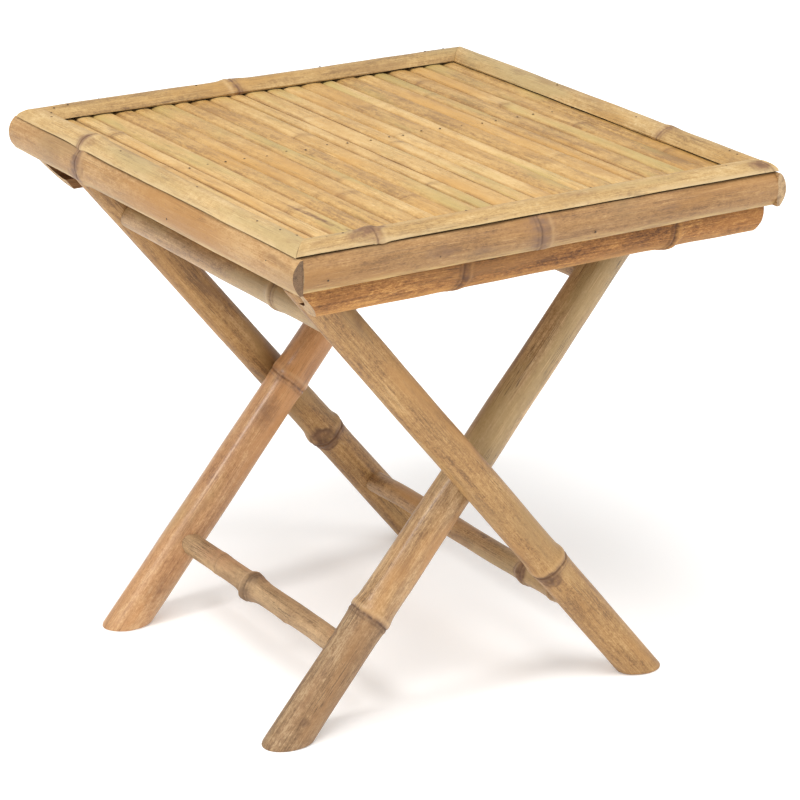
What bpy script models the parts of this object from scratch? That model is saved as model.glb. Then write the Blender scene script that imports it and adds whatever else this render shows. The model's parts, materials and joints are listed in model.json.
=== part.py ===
"""Folding side table made of bamboo: a slatted square tray on two crossed leg frames.

The outer leg frame is pinned to the tray's two rails at one end and to the inner leg frame where
the legs cross. The inner frame's tops bear on the underside of the slats, against a stop.
Metres, +Z up, origin on the floor under the middle of the tray. +X runs from the hinged end of
the tray to the stop end, and the front of the table faces -Y.
"""
import math

import bmesh
import bpy
from mathutils import Matrix, Vector

# ---- driving dimensions --------------------------------------------------------------------
TRAY = 0.440                # side of the square where the rim's caps meet its covers
HALF = TRAY / 2
RIM_Z = 0.4294              # height of that square above the floor
GAP = 0.0003                # clearance between pieces that touch

CAP_WIDTH = 0.026
CAP_RISE = 0.0085
COVER_HEIGHT = 0.0268
COVER_BULGE = 0.005
COVER_INNER = 0.0035        # covers reach this far inside the square
COVER_END = 0.0040          # the side covers run past the front and back ones
SLAT_COUNT = 24
SLAT_TOP = -0.0006          # heights below are measured from RIM_Z
SLAT_EDGE = -0.0030
SLAT_UNDER = -0.0080

RAIL_RADIUS = 0.0243
RAIL_WALL = 0.009
RAIL_AXIS_Z = -0.0327
RAIL_AXIS_IN = 0.034        # from the edge of the square to the rail's own axis
RAIL_FACE_IN = 0.037        # from the edge of the square to the rail's sawn face
RAIL_LEFT = -0.214
RAIL_RIGHT = 0.2158
BATTEN_RADIUS = 0.021
BATTEN_WALL = 0.009
BATTEN_AXIS_Z = -0.014
BATTEN_Y = 0.025
BATTEN_HALF_LENGTH = 0.198
CLEAT_THICK = 0.014
STOP_THICK = 0.0158
CLEAT_BOTTOM = -0.026

LEAN = math.radians(39.9)   # each leg's angle from the vertical
CROSS_X = -0.0130
CROSS_Z = 0.1913
OUTER_LEG_Y = 0.1645
INNER_LEG_Y = 0.1315
HINGE_Z = RIM_Z - 0.045
LEG_ABOVE_HINGE = 0.014
TOP_BAR_RADIUS = 0.0125
STRETCHER_RADIUS = 0.0095
OUTER_TOP_BAR_Z = 0.352
INNER_TOP_BAR_Z = 0.341
OUTER_STRETCHER_Z = 0.0682
INNER_STRETCHER_Z = 0.0662

PIN_RADIUS = 0.004
PIN_BITE = 0.008            # how far a pin reaches past a leg's axis
PIN_TIP_IN_RAIL = 0.0195    # from the edge of the square to the hinge pin's tip
DOWEL_RADIUS = 0.003
DOWEL_IN_BAR = 0.018
DOWEL_PAST_LEG_AXIS = 0.002

CULM_SIDES = 16
NODE_SPREAD = 0.007         # a culm's node swells over this length on each side

HINGE_X = CROSS_X - (HINGE_Z - CROSS_Z) * math.tan(LEAN)
OUTER_DOWN = Vector((math.sin(LEAN), 0, -math.cos(LEAN)))
INNER_DOWN = Vector((-math.sin(LEAN), 0, -math.cos(LEAN)))


# ---- scene helpers -------------------------------------------------------------------------
def clear_scene():
    for old in list(bpy.data.objects):
        bpy.data.objects.remove(old, do_unlink=True)


def make_material(name, colour, roughness, metallic=0.0):
    material = bpy.data.materials.new(name)
    material.use_nodes = True
    shader = material.node_tree.nodes["Principled BSDF"]
    shader.inputs["Base Color"].default_value = (*colour, 1)
    shader.inputs["Roughness"].default_value = roughness
    shader.inputs["Metallic"].default_value = metallic
    return material


def make_axis(name, place):
    """An empty that a body's pieces hang from, on that body's joint axis."""
    axis = bpy.data.objects.new(name, None)
    axis.empty_display_size = 0.03
    axis.location = place
    bpy.context.scene.collection.objects.link(axis)
    return axis


def add_piece(name, bm, material, axis, smooth=True):
    """Turns world-space bmesh geometry into a named object under its body's empty."""
    bmesh.ops.recalc_face_normals(bm, faces=bm.faces[:])
    if bm.calc_volume(signed=True) < 0:
        bmesh.ops.reverse_faces(bm, faces=bm.faces[:])
    mesh = bpy.data.meshes.new(name)
    bm.to_mesh(mesh)
    bm.free()
    mesh.transform(Matrix.Translation(-Vector(axis.location)))
    mesh.materials.append(material)
    if smooth:
        mesh.shade_smooth()
        mesh.set_sharp_from_angle(angle=math.radians(35))
    piece = bpy.data.objects.new(name, mesh)
    piece.parent = axis
    bpy.context.scene.collection.objects.link(piece)
    return piece


def add_cutter(name, bm, axis):
    cutter = add_piece(name, bm, None, axis, smooth=False)
    cutter.hide_render = True
    cutter.display_type = "WIRE"
    return cutter


def cut(piece, cutter):
    boolean = piece.modifiers.new("cut_by_" + cutter.name, "BOOLEAN")
    boolean.operation = "DIFFERENCE"
    boolean.solver = "EXACT"
    boolean.object = cutter


# ---- shape helpers -------------------------------------------------------------------------
def loft(bm, rings):
    """Skins closed rings of equal point count, in order, and closes both ends."""
    rows = [[bm.verts.new(point) for point in ring] for ring in rings]
    count = len(rows[0])
    for low, high in zip(rows, rows[1:]):
        for i in range(count):
            j = (i + 1) % count
            bm.faces.new((low[i], low[j], high[j], high[i]))
    bm.faces.new(reversed(rows[0]))
    bm.faces.new(rows[-1])


def trim(bm, point, outward):
    """Cuts away everything past a plane and closes the cut."""
    geometry = bm.verts[:] + bm.edges[:] + bm.faces[:]
    done = bmesh.ops.bisect_plane(bm, geom=geometry, plane_co=point, plane_no=outward,
                                  clear_outer=True)
    rim = [item for item in done["geom_cut"] if isinstance(item, bmesh.types.BMEdge)]
    bmesh.ops.contextual_create(bm, geom=rim)


def culm_radius(distance, length, root, tip, nodes, swell):
    """A culm tapers from root to tip and swells at its nodes."""
    radius = root + (tip - root) * distance / length
    for node in nodes:
        offset = abs(distance - node) / NODE_SPREAD
        if offset < 1:
            radius += swell * (1 - offset)
    return radius


def culm(bm, start, end, root, tip, nodes=(), swell=0.0015, sides=CULM_SIDES, grow=0.0):
    """A round culm from start to end. nodes are distances from start."""
    start = Vector(start)
    end = Vector(end)
    length = (end - start).length
    along = (end - start).normalized()
    side = Vector((0, 1, 0)) if abs(along.y) < 0.9 else Vector((1, 0, 0))
    across = along.cross(side).normalized()
    side = across.cross(along).normalized()
    stations = {0.0, length}
    for node in nodes:
        stations |= {node - NODE_SPREAD, node - 0.0015, node + 0.0015, node + NODE_SPREAD}
    rings = []
    for distance in sorted(stations):
        radius = culm_radius(distance, length, root, tip, nodes, swell) + grow
        centre = start + along * distance
        turns = [2 * math.pi * (i + 0.5) / sides for i in range(sides)]
        rings.append([centre + across * (radius * math.cos(a)) + side * (radius * math.sin(a))
                      for a in turns])
    loft(bm, rings)


def rod(bm, start, end, radius, sides=12):
    culm(bm, start, end, radius, radius, sides=sides)


def arc(radius, first, last, steps, centre=(0.0, 0.0)):
    """Points on a circle from angle first to last, in degrees."""
    angles = [math.radians(first + (last - first) * i / steps) for i in range(steps + 1)]
    return [(centre[0] + radius * math.cos(a), centre[1] + radius * math.sin(a)) for a in angles]


def bow(width, rise, steps):
    """A shallow arch over a chord: (distance along the chord, height) points."""
    radius = (width * width / 4 + rise * rise) / (2 * rise)
    half_angle = math.degrees(math.asin(width / 2 / radius))
    return arc(radius, 90 + half_angle, 90 - half_angle, steps, (width / 2, rise - radius))


# ---- rim -----------------------------------------------------------------------------------
# Rim pieces are drawn along the front edge of the tray, with u along X and v inwards, and are
# then turned about the tray's middle to the other three edges.
EDGES = {"front": 0, "right": 90, "back": 180, "left": 270}


def place_on_edge(bm, edge):
    turn = Matrix.Rotation(math.radians(EDGES[edge]), 4, "Z")
    bm.transform(Matrix.Translation((0, 0, RIM_Z)) @ turn)


def edge_prism(section, reach, node_at=None, swell=0.0012):
    """A bar along the front edge. section is (distance in from the edge, height) points."""
    bm = bmesh.new()
    stations = [(-reach, 0.0), (reach, 0.0)]
    if node_at is not None:
        stations += [(node_at - NODE_SPREAD, 0.0), (node_at, swell), (node_at + NODE_SPREAD, 0.0)]
    middle = (sum(p[0] for p in section) / len(section), sum(p[1] for p in section) / len(section))
    rings = []
    for along, growth in sorted(stations):
        ring = []
        for inwards, height in section:
            away = Vector((inwards - middle[0], height - middle[1])).normalized() * growth
            keeps_flat = min(0.0, away.x), max(0.0, away.y) if height > 0 else 0.0
            ring.append(Vector((along, -HALF + inwards + keeps_flat[0], height + keeps_flat[1])))
        rings.append(ring)
    loft(bm, rings)
    return bm


def add_caps(material, axis):
    section = [(0.0, 0.0)] + [(v, 0.0015 + h) for v, h in bow(CAP_WIDTH, CAP_RISE - 0.0015, 6)]
    section += [(CAP_WIDTH, 0.0)]
    nodes = {"front": -0.153, "right": -0.100, "back": 0.024, "left": -0.113}
    for edge, node_at in nodes.items():
        bm = edge_prism(section, HALF, node_at)
        for end in (-1, 1):
            corner = Vector((end * (HALF - GAP * math.sqrt(0.5)), -HALF, 0))
            trim(bm, corner, Vector((end, 1, 0)).normalized())
        place_on_edge(bm, edge)
        add_piece("cap_" + edge, bm, material, axis)


def add_covers(material, axis):
    bottom = -COVER_HEIGHT
    section = [(-bulge, -GAP - down) for down, bulge in
               bow(COVER_HEIGHT - GAP, COVER_BULGE, 6)]
    section += [(COVER_INNER, bottom), (COVER_INNER, -GAP)]
    nodes = {"front": -0.010, "right": -0.060, "back": 0.090, "left": -0.106}
    for edge, node_at in nodes.items():
        runs_through = edge in ("left", "right")
        reach = HALF + COVER_END if runs_through else HALF - COVER_INNER - GAP
        bm = edge_prism(section, reach, node_at)
        place_on_edge(bm, edge)
        add_piece("cover_" + edge, bm, material, axis)


# ---- tray ----------------------------------------------------------------------------------
def slat_edges():
    """Where one slat ends and the next begins: split culms vary in width by about a fifth."""
    widths = [1 + 0.2 * math.sin(2.4 * i) for i in range(SLAT_COUNT)]
    room = 2 * (HALF - COVER_INNER - GAP)
    edges = [-room / 2]
    for width in widths:
        edges.append(edges[-1] + room * width / sum(widths))
    return edges


def add_slats(material, axis):
    reach = HALF - COVER_INNER - GAP
    edges = slat_edges()
    for number, (left, right) in enumerate(zip(edges, edges[1:]), start=1):
        left += GAP / 2
        right -= GAP / 2
        width = right - left
        section = [(left, SLAT_UNDER), (left, SLAT_EDGE), (left + 0.2 * width, SLAT_EDGE + 0.0015),
                   (left + 0.36 * width, SLAT_TOP), (right - 0.36 * width, SLAT_TOP),
                   (right - 0.2 * width, SLAT_EDGE + 0.0015), (right, SLAT_EDGE),
                   (right, SLAT_UNDER)]
        bm = bmesh.new()
        loft(bm, [[Vector((x, y, RIM_Z + z)) for x, z in section] for y in (-reach, reach)])
        add_piece(f"slat_{number:02d}", bm, material, axis)


def half_culm_section(radius, wall, overshoot):
    """A split culm seen from its end: the skin faces +v, and the sawn face lies at -overshoot."""
    inner = radius - wall
    outer_dip = math.degrees(math.asin(overshoot / radius))
    inner_dip = math.degrees(math.asin(overshoot / inner))
    skin = arc(radius, -outer_dip, 180 + outer_dip, 12)
    hollow = arc(inner, 180 + inner_dip, -inner_dip, 8)
    return skin + hollow


def add_rails(material, axis, pin_holes):
    """Split culms on edge, skin outwards, with the left end sawn back underneath."""
    section = half_culm_section(RAIL_RADIUS, RAIL_WALL, RAIL_FACE_IN - RAIL_AXIS_IN)
    for edge, face in (("front", -1), ("back", 1)):
        axis_y = face * (HALF - RAIL_AXIS_IN)
        bm = bmesh.new()
        rings = []
        for x in (-HALF, HALF):
            rings.append([Vector((x, axis_y + face * skin, RIM_Z + RAIL_AXIS_Z + up))
                          for up, skin in section])
        loft(bm, rings)
        trim(bm, Vector((-0.1904, 0, RIM_Z - 0.0533)), Vector((-0.766, 0, -0.643)))
        trim(bm, Vector((RAIL_LEFT, 0, 0)), Vector((-1, 0, 0)))
        trim(bm, Vector((RAIL_RIGHT, 0, 0)), Vector((1, 0, 0)))
        cut(add_piece("rail_" + edge, bm, material, axis), pin_holes)


def add_batten(material, axis):
    """A split culm under the middle of the slats, skin downwards, which they are nailed to."""
    overshoot = SLAT_UNDER - GAP - BATTEN_AXIS_Z
    section = half_culm_section(BATTEN_RADIUS, BATTEN_WALL, overshoot)
    bm = bmesh.new()
    rings = []
    for x in (-BATTEN_HALF_LENGTH, BATTEN_HALF_LENGTH):
        rings.append([Vector((x, BATTEN_Y + across, RIM_Z + BATTEN_AXIS_Z - skin))
                      for across, skin in section])
    loft(bm, rings)
    add_piece("batten_middle", bm, material, axis)


def add_cleats(material, axis):
    """Strips under the end slats: one backs the left cover, the other stops the inner legs."""
    reach = HALF - RAIL_FACE_IN - GAP
    outer = HALF - COVER_INNER - GAP
    for name, side, thick in (("cleat_left", -1, CLEAT_THICK), ("leg_stop", 1, STOP_THICK)):
        inner = outer - thick
        top = SLAT_UNDER - GAP
        section = [(outer, top), (outer, CLEAT_BOTTOM), (inner + 0.003, CLEAT_BOTTOM),
                   (inner, CLEAT_BOTTOM + 0.004), (inner, top)]
        bm = bmesh.new()
        loft(bm, [[Vector((side * x, y, RIM_Z + z)) for x, z in section]
                  for y in (-reach, reach)])
        add_piece(name, bm, material, axis, smooth=False)


# ---- legs and bars -------------------------------------------------------------------------
# Each leg: side of the table, distance between its axis and the table's middle, radius at the
# floor, radius at the top and the heights of its nodes above the floor.
LEGS = {
    "leg_outer_front": (-1, OUTER_LEG_Y, 0.0155, 0.0153, (0.115,)),
    "leg_outer_back": (1, OUTER_LEG_Y, 0.0155, 0.0140, (0.122,)),
    "leg_inner_front": (-1, INNER_LEG_Y, 0.0169, 0.0151, (0.089,)),
    "leg_inner_back": (1, INNER_LEG_Y, 0.0171, 0.0158, (0.190,)),
}


def is_outer(leg):
    return "outer" in leg


def leg_line(leg):
    """Start below the floor, end above the top: the ends are sawn afterwards."""
    side, offset = LEGS[leg][:2]
    down = OUTER_DOWN if is_outer(leg) else INNER_DOWN
    cross = Vector((CROSS_X, side * offset, CROSS_Z))
    rise = HINGE_Z - CROSS_Z if is_outer(leg) else RIM_Z - CROSS_Z
    foot = cross + down * ((CROSS_Z + 0.03) / math.cos(LEAN))
    top = cross - down * (rise / math.cos(LEAN) + 0.03)
    return foot, top


def leg_culm(bm, leg, grow=0.0):
    foot, top = leg_line(leg)
    root, tip, heights = LEGS[leg][2:]
    nodes = [(h - foot.z) / math.cos(LEAN) for h in heights]
    culm(bm, foot, top, root, tip, nodes, grow=grow)


def add_legs(material, outer_axis, inner_axis, pin_holes):
    hinge = Vector((HINGE_X, 0, HINGE_Z))
    for leg in LEGS:
        bm = bmesh.new()
        leg_culm(bm, leg)
        trim(bm, Vector((0, 0, 0)), Vector((0, 0, -1)))
        if is_outer(leg):
            trim(bm, hinge - OUTER_DOWN * LEG_ABOVE_HINGE, -OUTER_DOWN)
            axis = outer_axis
        else:
            trim(bm, Vector((0, 0, RIM_Z + SLAT_UNDER - GAP * 2)), Vector((0, 0, 1)))
            axis = inner_axis
        cut(add_piece(leg, bm, material, axis), pin_holes)


def bar_x(height, outer):
    slope = -math.tan(LEAN) if outer else math.tan(LEAN)
    return CROSS_X + slope * (height - CROSS_Z)


# Each bar: whether it joins the outer legs, its height, its radius and its nodes along Y.
BARS = {
    "top_bar_outer": (True, OUTER_TOP_BAR_Z, TOP_BAR_RADIUS, (-0.086,)),
    "stretcher_outer": (True, OUTER_STRETCHER_Z, STRETCHER_RADIUS, (-0.087,)),
    "top_bar_inner": (False, INNER_TOP_BAR_Z, TOP_BAR_RADIUS, (0.040,)),
    "stretcher_inner": (False, INNER_STRETCHER_Z, STRETCHER_RADIUS, (0.010,)),
}


def bar_ends(bar):
    outer, height, _, _ = BARS[bar]
    reach = OUTER_LEG_Y if outer else INNER_LEG_Y
    x = bar_x(height, outer)
    return Vector((x, -reach, height)), Vector((x, reach, height))


def add_bars(material, outer_axis, inner_axis, saddles, pin_holes):
    """Thin culms between the legs, with ends scooped to fit the legs' round."""
    for bar, (outer, _, radius, nodes) in BARS.items():
        start, end = bar_ends(bar)
        bm = bmesh.new()
        culm(bm, start, end, radius, radius, [y - start.y for y in nodes], sides=14)
        piece = add_piece(bar, bm, material, outer_axis if outer else inner_axis)
        cut(piece, saddles)
        cut(piece, pin_holes)


def saddle_cutter(axis):
    bm = bmesh.new()
    for leg in LEGS:
        leg_culm(bm, leg, grow=GAP)
    return add_cutter("leg_saddles", bm, axis)


def leg_radius_at(leg, height):
    foot, top = leg_line(leg)
    root, tip, _ = LEGS[leg][2:]
    return root + (tip - root) * (height - foot.z) / (top.z - foot.z)


def dowels():
    """One blind dowel at each end of each bar: its name, frame, start in the leg and end."""
    found = []
    for bar, (outer, height, _, _) in BARS.items():
        frame = "outer" if outer else "inner"
        for place, end in zip(("front", "back"), bar_ends(bar)):
            inwards = Vector((0, -math.copysign(1, end.y), 0))
            reach = leg_radius_at(f"leg_{frame}_{place}", height) + DOWEL_IN_BAR
            start = end + inwards * DOWEL_PAST_LEG_AXIS
            found.append((f"dowel_{bar}_{place}", outer, start, end + inwards * reach))
    return found


def cross_pins():
    """Blind pins that the leg frames turn on where they cross."""
    return [(Vector((CROSS_X, side * (OUTER_LEG_Y + PIN_BITE), CROSS_Z)),
             Vector((CROSS_X, side * (INNER_LEG_Y - PIN_BITE), CROSS_Z))) for side in (-1, 1)]


def hinge_pins():
    """Blind pins that the tray's rails turn on, in the tops of the outer legs."""
    in_rail = HALF - PIN_TIP_IN_RAIL
    return [(Vector((HINGE_X, side * in_rail, HINGE_Z)),
             Vector((HINGE_X, side * (OUTER_LEG_Y - PIN_BITE), HINGE_Z))) for side in (-1, 1)]


def add_pins(material, axis):
    for kind, pins in (("cross_pin", cross_pins()), ("hinge_pin", hinge_pins())):
        for end, (outside, inside) in zip(("front", "back"), pins):
            bm = bmesh.new()
            rod(bm, outside, inside, PIN_RADIUS)
            add_piece(f"{kind}_{end}", bm, material, axis)


def add_dowels(material, outer_axis, inner_axis):
    for name, outer, start, end in dowels():
        bm = bmesh.new()
        rod(bm, start, end, DOWEL_RADIUS, sides=8)
        add_piece(name, bm, material, outer_axis if outer else inner_axis)


def pin_hole_cutter(axis):
    bm = bmesh.new()
    bores = [(pin, PIN_RADIUS, 16) for pin in cross_pins() + hinge_pins()]
    bores += [((start, end), DOWEL_RADIUS, 8) for _, _, start, end in dowels()]
    for (start, end), radius, sides in bores:
        past = (end - start).normalized() * 0.0005
        rod(bm, start - past, end + past, radius + GAP, sides)
    return add_cutter("pin_holes", bm, axis)


# ---- assembly ------------------------------------------------------------------------------
def main():
    clear_scene()
    slat_bamboo = make_material("slat_bamboo", (0.62, 0.40, 0.16), 0.42)
    rim_bamboo = make_material("rim_bamboo", (0.58, 0.38, 0.16), 0.45)
    rail_bamboo = make_material("rail_bamboo", (0.36, 0.20, 0.09), 0.70)
    leg_bamboo = make_material("leg_bamboo", (0.50, 0.29, 0.11), 0.35)
    dowel_wood = make_material("dowel_wood", (0.45, 0.28, 0.13), 0.60)

    outer = make_axis("outer_frame", (0, 0, 0))
    inner = make_axis("cross_axis", (CROSS_X, 0, CROSS_Z))
    tray = make_axis("hinge_axis", (HINGE_X, 0, HINGE_Z))

    pin_holes = pin_hole_cutter(outer)
    saddles = saddle_cutter(outer)

    add_caps(rim_bamboo, tray)
    add_covers(rim_bamboo, tray)
    add_slats(slat_bamboo, tray)
    add_rails(rail_bamboo, tray, pin_holes)
    add_batten(rail_bamboo, tray)
    add_cleats(rail_bamboo, tray)
    add_legs(leg_bamboo, outer, inner, pin_holes)
    add_bars(leg_bamboo, outer, inner, saddles, pin_holes)
    add_pins(dowel_wood, outer)
    add_dowels(dowel_wood, outer, inner)


main()
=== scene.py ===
"""Looks of the folding bamboo side table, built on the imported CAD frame.

Every culm and split culm is grown along a straight line from a cross-section, with its own taper,
nodes and surface waves. Lengths are in metres, in the frame's own coordinates: +X runs from the
hinged end of the tray to the stop end and the front of the table faces -Y.
"""

import json
import math
import random

import bmesh
import bpy
from mathutils import Matrix, Vector, noise


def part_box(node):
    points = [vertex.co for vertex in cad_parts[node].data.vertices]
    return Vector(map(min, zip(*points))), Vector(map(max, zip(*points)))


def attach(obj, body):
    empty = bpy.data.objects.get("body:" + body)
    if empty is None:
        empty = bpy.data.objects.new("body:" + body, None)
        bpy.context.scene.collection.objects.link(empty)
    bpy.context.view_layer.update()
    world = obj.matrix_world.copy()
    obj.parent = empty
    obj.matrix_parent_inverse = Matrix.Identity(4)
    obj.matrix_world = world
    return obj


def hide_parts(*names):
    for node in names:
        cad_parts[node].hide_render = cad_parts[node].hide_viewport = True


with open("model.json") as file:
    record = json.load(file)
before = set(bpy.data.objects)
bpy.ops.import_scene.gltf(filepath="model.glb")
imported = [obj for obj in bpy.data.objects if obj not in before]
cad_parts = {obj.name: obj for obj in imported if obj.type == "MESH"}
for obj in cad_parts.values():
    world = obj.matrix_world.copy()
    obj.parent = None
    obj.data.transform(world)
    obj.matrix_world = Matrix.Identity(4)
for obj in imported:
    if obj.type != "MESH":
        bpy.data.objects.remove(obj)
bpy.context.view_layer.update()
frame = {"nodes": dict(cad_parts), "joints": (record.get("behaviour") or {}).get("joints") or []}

JOINTS = {joint["name"]: Vector(joint["pos_m"]) for joint in frame["joints"]}
CROSS = JOINTS["legs_fold"]
HINGE = JOINTS["tray_tilt"]
OUTER_DOWN = Vector((CROSS.x - HINGE.x, 0, CROSS.z - HINGE.z)).normalized()
INNER_DOWN = Vector((-OUTER_DOWN.x, 0, OUTER_DOWN.z))

HALF = 0.220                # half the side of the square where caps meet covers
RIM_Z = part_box("cover_front")[1].z + 0.0003
CAP_WIDTH = 0.026
CAP_RISE = 0.0085
CAP_LIP = {"front": 0.0014, "right": 0.0007, "back": 0.0007, "left": 0.0007}   # open joint
COVER_BULGE = 0.005
COVER_INNER = 0.0035
GAP = 0.0003
FLOOR = 0.0                 # the feet are sawn level with it
SHARP_ANGLE = math.radians(38)

SKIN, SAWN, END, LOW_SKIN = range(4)    # material slots of the grown pieces


# ---- node trees ----------------------------------------------------------------------------
class Tree:
    """A short way to write a material's nodes."""

    def __init__(self, name):
        self.material = bpy.data.materials.new(name)
        self.material.use_nodes = True
        self.tree = self.material.node_tree
        self.shader = self.tree.nodes["Principled BSDF"]

    def node(self, kind, inputs=(), **settings):
        """A node of a kind, with its inputs set or linked and its settings made."""
        made = self.tree.nodes.new(kind)
        for key, value in settings.items():
            setattr(made, key, value)
        for key, value in dict(inputs).items():
            self.put(made.inputs[key], value)
        return made

    def put(self, socket, value):
        """Links another node's output to a socket, or sets a plain value on it."""
        if isinstance(value, bpy.types.NodeSocket):
            self.tree.links.new(value, socket)
        else:
            socket.default_value = value

    def math(self, operation, a, b=0.0, clamp=False):
        made = self.node("ShaderNodeMath", {0: a, 1: b}, operation=operation, use_clamp=clamp)
        return made.outputs[0]

    def attribute(self, name):
        return self.node("ShaderNodeAttribute", attribute_name=name).outputs["Fac"]

    def grain(self):
        """(along the fibres, round the culm, the piece's own number), in metres."""
        uv = self.node("ShaderNodeUVMap", uv_map="grain").outputs[0]
        split = self.node("ShaderNodeSeparateXYZ", {0: uv}).outputs
        seed = self.attribute("seed")
        return self.node("ShaderNodeCombineXYZ", {0: split[0], 1: split[1], 2: seed}).outputs[0]

    def noise(self, place, stretch, detail=2.0, roughness=0.5):
        """Noise with stretch waves to the metre along, round and between the pieces."""
        scaled = self.node("ShaderNodeVectorMath", {0: place, 1: stretch}, operation="MULTIPLY")
        made = self.node("ShaderNodeTexNoise", {"Vector": scaled.outputs[0], "Scale": 1.0,
                                                "Detail": detail, "Roughness": roughness,
                                                "Distortion": 0.0})
        return made.outputs[0]

    def step(self, value, low, high, out_low=0.0, out_high=1.0):
        """A smooth change from out_low to out_high while value goes from low to high."""
        made = self.node("ShaderNodeMapRange", {0: value, 1: low, 2: high, 3: out_low,
                                                4: out_high}, interpolation_type="SMOOTHSTEP")
        return made.outputs[0]

    def mix(self, share, a, b):
        """Colour a with a share of colour b over it."""
        made = self.node("ShaderNodeMix", data_type="RGBA", blend_type="MIX")
        self.put(made.inputs[0], share)
        for socket, value in ((made.inputs[6], a), (made.inputs[7], b)):
            self.put(socket, value if isinstance(value, bpy.types.NodeSocket) else (*value, 1))
        return made.outputs[2]

    def ramp(self, value, stops):
        """Colours at their places along value, blended between."""
        made = self.node("ShaderNodeValToRGB", {0: value})
        elements = made.color_ramp.elements
        while len(elements) < len(stops):
            elements.new(0.5)
        for element, (place, colour) in zip(elements, stops):
            element.position = place
            element.color = (*colour, 1)
        return made.outputs[0]


def shade(colour, factor):
    return tuple(min(1.0, c * factor) for c in colour)


def streak_level(t, fine, broad, mottle, contrast):
    """How pale the skin is, 0 to 1: four sizes of streak, a fine grit and the stretch's tone."""
    place = t.grain()
    cloud = t.noise(place, (22, 90, 2.3), detail=4, roughness=0.62)
    grit = t.noise(place, (430, 1100, 12.3), detail=2, roughness=0.7)
    level = t.math("MULTIPLY", fine, 0.23)
    level = t.math("ADD", level, t.math("MULTIPLY", broad, 0.23))
    level = t.math("ADD", level, t.math("MULTIPLY", cloud, 0.29))
    level = t.math("ADD", level, t.math("MULTIPLY", mottle, 0.25))
    level = t.math("ADD", level, t.math("MULTIPLY", t.math("SUBTRACT", grit, 0.5), 0.30))
    level = t.math("MULTIPLY", t.math("SUBTRACT", level, 0.5), 4.4 * contrast)
    tone = t.math("MULTIPLY", t.attribute("tone"), 0.26)
    return t.math("ADD", t.math("ADD", level, 0.5), tone, clamp=True)


def age_marks(t, place, colour, colours, ring, flecks):
    """Short marks, pin-prick dots and pale scratches over a skin's colour."""
    marks = t.noise(place, (95, 800, 4.3), detail=2)
    colour = t.mix(t.step(marks, 0.64, 0.74, 0.0, flecks * 0.6), colour, shade(ring, 1.9))
    dots = t.noise(place, (520, 620, 5.3), detail=1)
    colour = t.mix(t.step(dots, 0.73, 0.80, 0.0, flecks), colour, shade(ring, 1.3))
    scratch = t.noise(place, (30, 1500, 5.9), detail=1)
    return t.mix(t.step(scratch, 0.66, 0.76, 0.0, 0.55), colour, shade(colours[3], 1.12))


def drying_cracks(t, place, colour, ring, fibres):
    """Thin dark lines along the fibres, in some places only."""
    crack = t.noise(place, (9, 620, 8.1), detail=3, roughness=0.6)
    thin = t.math("ABSOLUTE", t.math("SUBTRACT", crack, 0.5))
    where = t.noise(place, (14, 60, 9.3), detail=2)
    line = t.math("MULTIPLY", t.step(thin, 0.020, 0.004), t.step(where, 0.46, 0.60, 0.0, fibres))
    return t.mix(line, colour, shade(ring, 0.75))


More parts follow.
